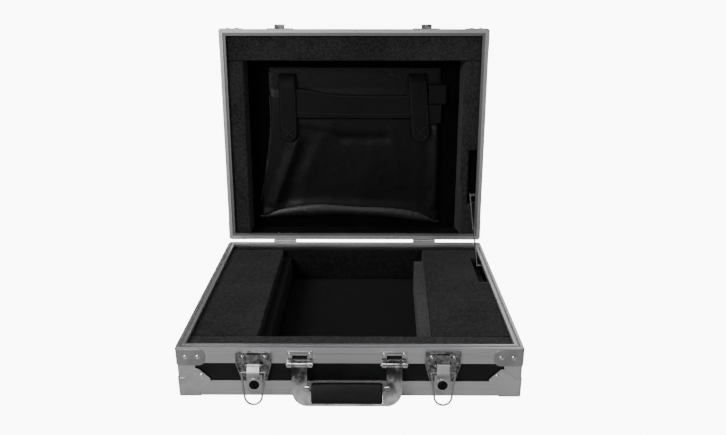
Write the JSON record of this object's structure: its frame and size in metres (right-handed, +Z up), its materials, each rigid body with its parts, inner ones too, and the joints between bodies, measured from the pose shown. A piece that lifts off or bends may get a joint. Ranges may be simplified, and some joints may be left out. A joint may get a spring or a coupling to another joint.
{
  "type": "attache case",
  "caption": "Open aluminum-framed attache case with foam-lined base, document pouch in the lid, draw latches, a folding lid stay and a drop handle.",
  "frame": {"origin": "centre of the open case's bounding box at the ground, under the corner caps", "axes": "+Z up, -Y towards the front with the latches and handle, +X to the right seen from the front"},
  "size_m": [0.4544, 0.4887, 0.4488],
  "materials": {
    "laminate": "black laminated board with a fine pebbled skin",
    "rim_aluminium": "brushed extrusion, clear anodised",
    "edge_aluminium": "brushed angle extrusion, clear anodised",
    "corner_metal": "pressed corner, satin",
    "rivet_metal": "domed rivet heads",
    "foam": "closed-cell foam with a fine grain",
    "liner_foam": "firm foam slab with a skin",
    "lining_felt": "short black felt",
    "pouch_leather": "soft black leather with a gloss",
    "strap_leather": "black leather, stitched",
    "lock_black": "black lock plug",
    "grip_leather": "black padded grip",
    "chrome": "polished plate",
    "latch_steel": "nickel-plated pressing",
    "hinge_steel": "zinc-plated pressing"
  },
  "bodies": {
    "base": {"base_bottom_board": "laminate", "base_front_board": "laminate", "base_back_board": "laminate", "base_left_board": "laminate", "base_right_board": "laminate", "base_rim_bars": "rim_aluminium", "base_edge_bars": "edge_aluminium", "base_corner_posts": "edge_aluminium", "base_corner_braces": "corner_metal", "base_corner_caps": "corner_metal", "base_rivets": "rivet_metal", "base_floor_foam": "foam", "base_left_foam": "foam", "base_right_foam": "foam", "base_front_foam": "foam", "base_back_foam": "foam", "base_left_liner": "liner_foam", "base_right_liner": "liner_foam", "latch_plates": "latch_steel", "latch_pins": "latch_steel", "front_rivets": "rivet_metal", "handle_brackets": "chrome", "handle_pins": "chrome", "hinge_base_leaves": "hinge_steel", "hinge_pins": "hinge_steel", "stay_base_bracket": "hinge_steel"},
    "lid": {"lid_top_board": "laminate", "lid_front_board": "laminate", "lid_back_board": "laminate", "lid_left_board": "laminate", "lid_right_board": "laminate", "lid_rim_bars": "rim_aluminium", "lid_edge_bars": "edge_aluminium", "lid_corner_posts": "edge_aluminium", "lid_corner_braces": "corner_metal", "lid_corner_caps": "corner_metal", "lid_rivets": "rivet_metal", "lid_lining": "lining_felt", "lid_front_foam": "foam", "lid_left_foam": "foam", "lid_right_foam": "foam", "hinge_lid_leaves": "hinge_steel", "latch_catches": "latch_steel", "stay_lid_bracket": "hinge_steel", "pouch_body": "pouch_leather", "pouch_band": "strap_leather", "pouch_strap_left": "strap_leather", "pouch_strap_right": "strap_leather"},
    "handle": {"handle_frame": "chrome", "handle_grip": "grip_leather"},
    "lever_left": {"latch_lever_left": "chrome"},
    "lock_left": {"latch_lock_left": "lock_black"},
    "bail_left": {"latch_bail_left": "chrome"},
    "lever_right": {"latch_lever_right": "chrome"},
    "lock_right": {"latch_lock_right": "lock_black"},
    "bail_right": {"latch_bail_right": "chrome"},
    "stay_upper": {"stay_upper_link": "hinge_steel"},
    "stay_lower": {"stay_lower_link": "hinge_steel"}
  },
  "joints": [
    {"name": "lid_hinge", "type": "hinge", "parent": "base", "child": "lid", "pos_m": [0, 0.1545, 0.0747], "axis": [1, 0, 0], "range_deg": [0, 94.5]},
    {"name": "stay_upper_turn", "type": "hinge", "parent": "lid", "child": "stay_upper", "pos_m": [0.205, 0.16838, 0.15807], "axis": [1, 0, 0], "range_deg": [-133.68, 0.5]},
    {"name": "stay_lower_turn", "type": "hinge", "parent": "base", "child": "stay_lower", "pos_m": [0.2072, 0.0695, 0.0647], "axis": [1, 0, 0], "range_deg": [-0.5, 127.19]},
    {"name": "handle_turn", "type": "hinge", "parent": "base", "child": "handle", "pos_m": [-0.003, -0.2209, 0.0535], "axis": [-1, 0, 0], "range_deg": [0, 100]},
    {"name": "lever_left_turn", "type": "hinge", "parent": "base", "child": "lever_left", "pos_m": [-0.124, -0.2187, 0.051], "axis": [-1, 0, 0], "range_deg": [0, 75]},
    {"name": "bail_left_turn", "type": "hinge", "parent": "lever_left", "child": "bail_left", "pos_m": [-0.124, -0.2232, 0.0435], "axis": [1, 0, 0], "range_deg": [-173, 0]},
    {"name": "lock_left_turn", "type": "hinge", "parent": "lever_left", "child": "lock_left", "pos_m": [-0.124, -0.2187, 0.024], "axis": [0, -1, 0], "range_deg": [0, 90]},
    {"name": "lever_right_turn", "type": "hinge", "parent": "base", "child": "lever_right", "pos_m": [0.1208, -0.2187, 0.051], "axis": [-1, 0, 0], "range_deg": [0, 75]},
    {"name": "bail_right_turn", "type": "hinge", "parent": "lever_right", "child": "bail_right", "pos_m": [0.1208, -0.2232, 0.0435], "axis": [1, 0, 0], "range_deg": [-173, 0]},
    {"name": "lock_right_turn", "type": "hinge", "parent": "lever_right", "child": "lock_right", "pos_m": [0.1208, -0.2187, 0.024], "axis": [0, -1, 0], "range_deg": [0, 90]}
  ],
  "couplings": [
    {"joint": "stay_upper_turn", "follows": "lid_hinge", "ratio": -1.4093},
    {"joint": "stay_lower_turn", "follows": "lid_hinge", "ratio": 1.3406}
  ]
}
